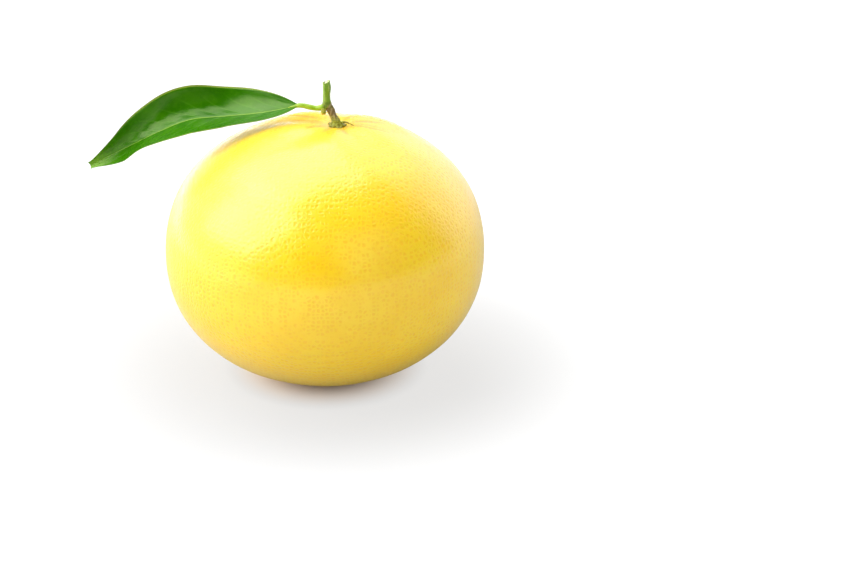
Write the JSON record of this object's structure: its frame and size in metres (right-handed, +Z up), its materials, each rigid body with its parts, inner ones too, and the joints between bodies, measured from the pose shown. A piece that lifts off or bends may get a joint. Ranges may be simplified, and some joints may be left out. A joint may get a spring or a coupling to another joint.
{
  "type": "grapefruit",
  "caption": "Whole round grapefruit with pitted yellow peel, standing on its flat blossom end, with clipped stem, bud and long folded leaf at the crown.",
  "frame": {"origin": "centre of the small flat spot that the fruit rests on", "axes": "+Z up through the fruit from its blossom end to its stem; the leaf reaches out towards -X; -Y is the side seen with the leaf on the left"},
  "size_m": [0.1436, 0.1144, 0.1085],
  "materials": {
    "peel": "satin pitted yellow peel",
    "calyx": "dull dry olive green",
    "bark": "matt grey-brown bark",
    "green_stem": "satin ribbed green bark",
    "bud": "matt yellow-green scales with brown tips",
    "leaf_stalk": "satin yellow-green",
    "leaf": "glossy deep green with a pale midrib"
  },
  "bodies": {
    "root": {"fruit": "peel", "calyx": "calyx", "stalk": "bark", "shoot": "green_stem", "bud": "bud", "petiole": "leaf_stalk", "leaf_blade": "leaf"}
  },
  "joints": []
}
